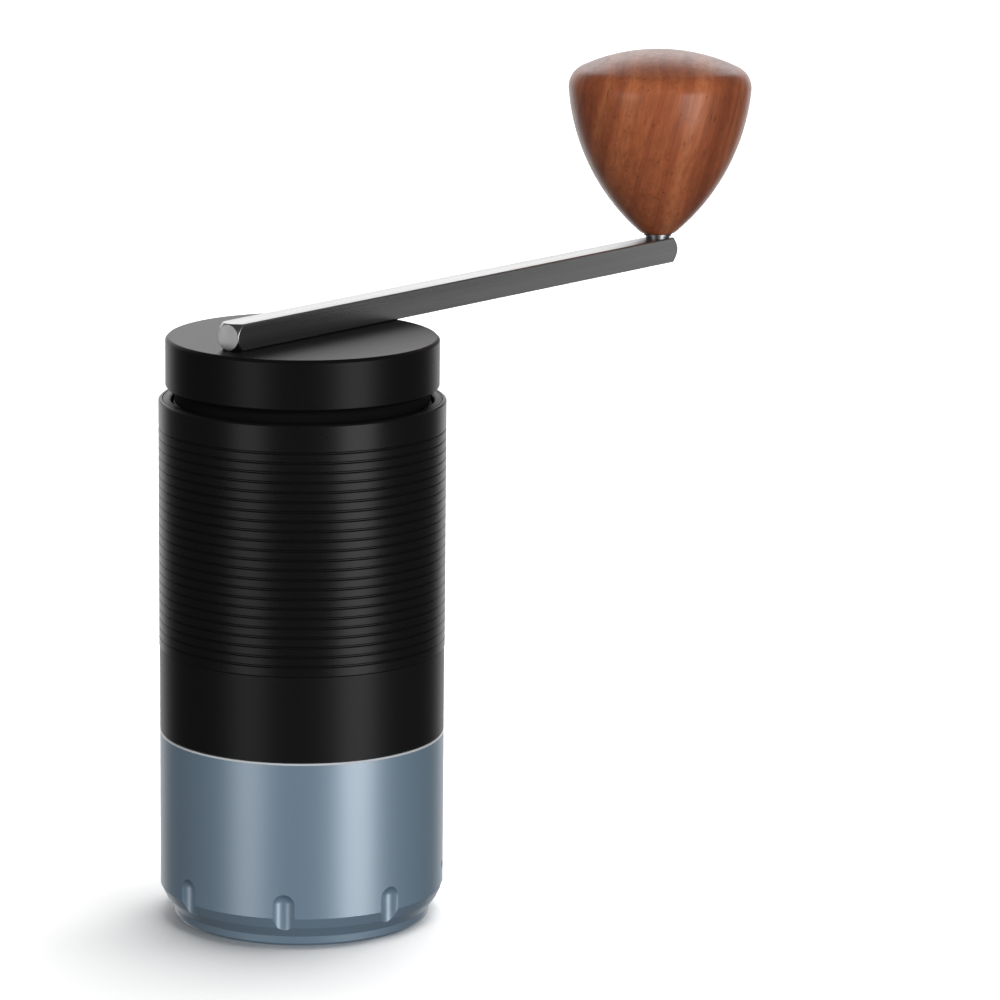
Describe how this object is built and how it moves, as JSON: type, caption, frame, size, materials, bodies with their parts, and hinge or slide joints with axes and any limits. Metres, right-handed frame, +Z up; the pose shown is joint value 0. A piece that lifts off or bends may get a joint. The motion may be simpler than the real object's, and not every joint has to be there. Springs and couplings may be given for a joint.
{
  "type": "hand crank coffee grinder",
  "caption": "Slim round hand coffee grinder with a square crank arm, wooden knob, grooved grip sleeve, pull-off catch cup and a conical burr set on a bearing-mounted shaft.",
  "frame": {"origin": "on the grinder's axis, at the underside of the catch cup", "axes": "+Z up along the shaft; +X along the crank arm from the axis to the knob; +Y by the right-hand rule"},
  "size_m": [0.1597, 0.055, 0.1576],
  "materials": {
    "blue_grey_anodised": "satin blue-grey anodised",
    "black_anodised": "bead-blasted matte black anodised",
    "sleeve_black": "matte black anodised with fine turned grooves",
    "natural_aluminium": "machined, clear anodised",
    "arm_steel": "stainless steel, satin ground",
    "shaft_steel": "ground stainless steel",
    "burr_steel": "bright hardened stainless steel",
    "bearing_steel": "polished bearing steel",
    "spring_steel": "bright spring steel",
    "black_steel": "black oxide",
    "nickel": "nickel plated",
    "nylon": "natural nylon",
    "seal_rubber": "matte silicone",
    "bush_brass": "turned",
    "knob_wood": "oiled satin hardwood"
  },
  "bodies": {
    "cup": {"catch_cup": "blue_grey_anodised", "keeper_ring": "spring_steel"},
    "housing": {"body_tube": "black_anodised", "grip_sleeve": "sleeve_black", "cup_magnets": "nickel", "lower_support": "natural_aluminium", "lower_support_screws": "black_steel", "lower_outer_race": "bearing_steel", "lower_bearing_retainer": "black_steel", "upper_support": "natural_aluminium", "upper_support_screws": "black_steel", "upper_outer_race": "bearing_steel", "upper_bearing_retainer": "black_steel", "outer_burr": "burr_steel", "burr_set_screws": "black_steel"},
    "shaft": {"drive_shaft": "shaft_steel", "lower_inner_race": "bearing_steel", "upper_inner_race": "bearing_steel", "shaft_clip": "black_steel", "spring_seat": "shaft_steel", "burr_spring": "spring_steel", "burr_drive_pin": "shaft_steel", "stop_washer": "shaft_steel", "stop_screw": "black_steel"},
    "lower_ball_set": {"lower_bearing_balls": "bearing_steel", "lower_bearing_cage": "nylon"},
    "upper_ball_set": {"upper_bearing_balls": "bearing_steel", "upper_bearing_cage": "nylon"},
    "inner_burr": {"inner_burr": "burr_steel", "click_plate": "shaft_steel", "click_plate_screws": "black_steel"},
    "dial": {"adjust_dial": "black_anodised", "detent_balls": "bearing_steel", "detent_springs": "spring_steel"},
    "crank": {"lid_cap": "black_anodised", "lid_seal": "seal_rubber", "drive_hub": "shaft_steel", "hub_screws": "black_steel", "arm_screws": "black_steel", "crank_arm": "arm_steel", "knob_pin": "shaft_steel", "knob_washer": "shaft_steel", "knob_clip": "spring_steel"},
    "knob": {"knob_bush": "bush_brass", "knob": "knob_wood"}
  },
  "joints": [
    {"name": "cup_pull", "type": "slide", "parent": "cup", "child": "housing", "axis": [0, 0, 1], "range_m": [0, 0.06]},
    {"name": "crank_spin", "type": "hinge", "parent": "housing", "child": "shaft", "pos_m": [0, 0, 0], "axis": [0, 0, 1], "continuous": true},
    {"name": "lower_ball_orbit", "type": "hinge", "parent": "housing", "child": "lower_ball_set", "pos_m": [0, 0, 0], "axis": [0, 0, 1], "continuous": true},
    {"name": "upper_ball_orbit", "type": "hinge", "parent": "housing", "child": "upper_ball_set", "pos_m": [0, 0, 0], "axis": [0, 0, 1], "continuous": true},
    {"name": "burr_height", "type": "slide", "parent": "shaft", "child": "inner_burr", "axis": [0, 0, 1], "range_m": [-0.002, 0.001], "deforming": ["burr_spring"]},
    {"name": "adjust_turn", "type": "hinge", "parent": "inner_burr", "child": "dial", "pos_m": [0, 0, 0], "axis": [0, 0, 1], "range_deg": [-720, 360]},
    {"name": "crank_lift", "type": "slide", "parent": "shaft", "child": "crank", "axis": [0, 0, 1], "range_m": [0, 0.035]},
    {"name": "knob_spin", "type": "hinge", "parent": "crank", "child": "knob", "pos_m": [0.1133, 0, 0.12], "axis": [0, 0, 1], "continuous": true}
  ],
  "couplings": [
    {"joint": "lower_ball_orbit", "follows": "crank_spin", "ratio": 0.4016},
    {"joint": "upper_ball_orbit", "follows": "crank_spin", "ratio": 0.4016},
    {"joint": "adjust_turn", "follows": "burr_height", "rad_per_m": 6283.2}
  ]
}
